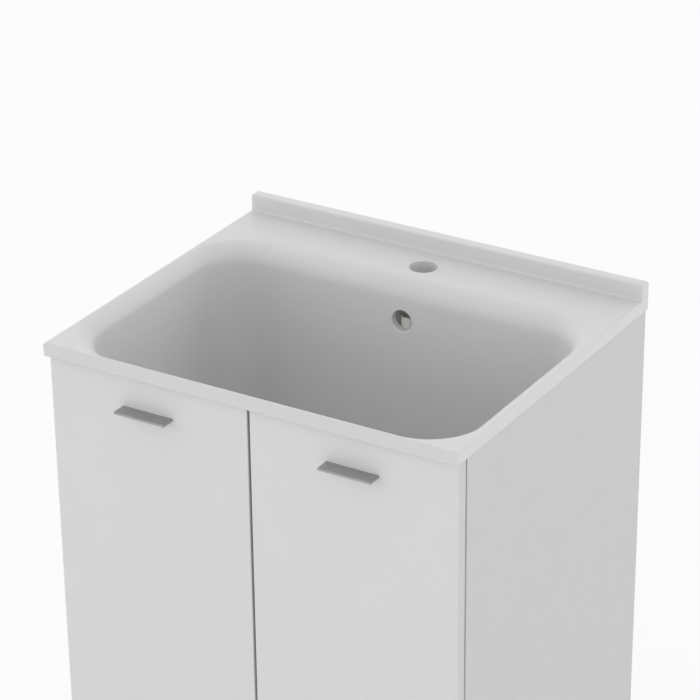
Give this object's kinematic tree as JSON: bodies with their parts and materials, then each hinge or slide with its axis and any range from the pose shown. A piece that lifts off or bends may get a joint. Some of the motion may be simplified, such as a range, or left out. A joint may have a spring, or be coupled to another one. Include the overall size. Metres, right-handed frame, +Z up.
{
  "type": "washbasin with cabinet",
  "caption": "Laundry washbasin: a deep rectangular bowl with a rear upstand, tap hole and overflow, set on a two-door base cabinet with levelling feet.",
  "frame": {"origin": "on the floor, below the centre of the bounding box", "axes": "+X to the right facing the doors, +Y to the wall behind, +Z up"},
  "size_m": [0.6, 0.5174, 0.8725],
  "materials": {
    "basin_polymer": "smooth white moulding with a soft gloss",
    "cabinet_board": "white melamine faced board, satin",
    "door_board": "white foil faced board, smooth satin",
    "handle_metal": "grey satin",
    "hinge_steel": "nickel plated",
    "screw_steel": "zinc plated",
    "cam_zinc": "die cast, dull",
    "dowel_wood": "bare beech",
    "waste_steel": "polished stainless",
    "pipe_plastic": "white polypropylene",
    "seal_rubber": "matt black",
    "leg_plastic": "black, fine texture",
    "buffer_rubber": "milky"
  },
  "bodies": {
    "cabinet": {"basin": "basin_polymer", "side_panel_left": "cabinet_board", "side_panel_right": "cabinet_board", "bottom_panel": "cabinet_board", "back_rail_top": "cabinet_board", "back_rail_bottom": "cabinet_board", "hinge_arms_left": "hinge_steel", "hinge_arms_right": "hinge_steel", "hinge_plates_left": "hinge_steel", "hinge_plates_right": "hinge_steel", "basin_brackets": "hinge_steel", "bracket_screws": "screw_steel", "leg_screws": "screw_steel", "waste_screw": "screw_steel", "cam_bolts": "screw_steel", "hinge_plate_screws_left": "screw_steel", "hinge_plate_screws_right": "screw_steel", "hinge_arm_screws_left": "screw_steel", "hinge_arm_screws_right": "screw_steel", "cam_discs": "cam_zinc", "panel_dowels": "dowel_wood", "waste_flange": "waste_steel", "waste_body": "pipe_plastic", "overflow_elbow": "pipe_plastic", "overflow_pipe": "pipe_plastic", "overflow_nut": "pipe_plastic", "trap_nuts": "pipe_plastic", "trap_inlet_pipe": "pipe_plastic", "trap_body": "pipe_plastic", "trap_cup": "pipe_plastic", "trap_outlet_pipe": "pipe_plastic", "waste_gasket_upper": "seal_rubber", "waste_gasket_lower": "seal_rubber", "overflow_gasket": "seal_rubber", "trap_washers": "seal_rubber", "trap_cup_seal": "seal_rubber", "leg_plates": "leg_plastic", "leg_columns": "leg_plastic", "door_buffers": "buffer_rubber"},
    "door_left_leaf": {"door_left": "door_board", "handle_left": "handle_metal", "handle_screws_left": "screw_steel", "hinge_cups_left": "hinge_steel", "hinge_pins_left": "hinge_steel", "hinge_cup_screws_left": "screw_steel"},
    "door_right_leaf": {"door_right": "door_board", "handle_right": "handle_metal", "handle_screws_right": "screw_steel", "hinge_cups_right": "hinge_steel", "hinge_pins_right": "hinge_steel", "hinge_cup_screws_right": "screw_steel"},
    "strainer": {"strainer_basket": "waste_steel", "strainer_knob": "waste_steel", "strainer_seal": "seal_rubber"},
    "foot_front_left": {"foot_front_left": "leg_plastic"},
    "foot_front_right": {"foot_front_right": "leg_plastic"},
    "foot_back_left": {"foot_back_left": "leg_plastic"},
    "foot_back_right": {"foot_back_right": "leg_plastic"}
  },
  "joints": [
    {"name": "left_door_swing", "type": "hinge", "parent": "cabinet", "child": "door_left_leaf", "pos_m": [-0.28975, -0.22875, 0.46575], "axis": [0, 0, -1], "range_deg": [0, 95]},
    {"name": "right_door_swing", "type": "hinge", "parent": "cabinet", "child": "door_right_leaf", "pos_m": [0.28975, -0.22875, 0.46575], "axis": [0, 0, 1], "range_deg": [0, 95]},
    {"name": "strainer_lift", "type": "slide", "parent": "cabinet", "child": "strainer", "axis": [0, 0, 1], "range_m": [0, 0.06]},
    {"name": "front_left_foot_level", "type": "slide", "parent": "cabinet", "child": "foot_front_left", "axis": [0, 0, 1], "range_m": [0, 0.015]},
    {"name": "front_right_foot_level", "type": "slide", "parent": "cabinet", "child": "foot_front_right", "axis": [0, 0, 1], "range_m": [0, 0.015]},
    {"name": "back_left_foot_level", "type": "slide", "parent": "cabinet", "child": "foot_back_left", "axis": [0, 0, 1], "range_m": [0, 0.015]},
    {"name": "back_right_foot_level", "type": "slide", "parent": "cabinet", "child": "foot_back_right", "axis": [0, 0, 1], "range_m": [0, 0.015]}
  ]
}
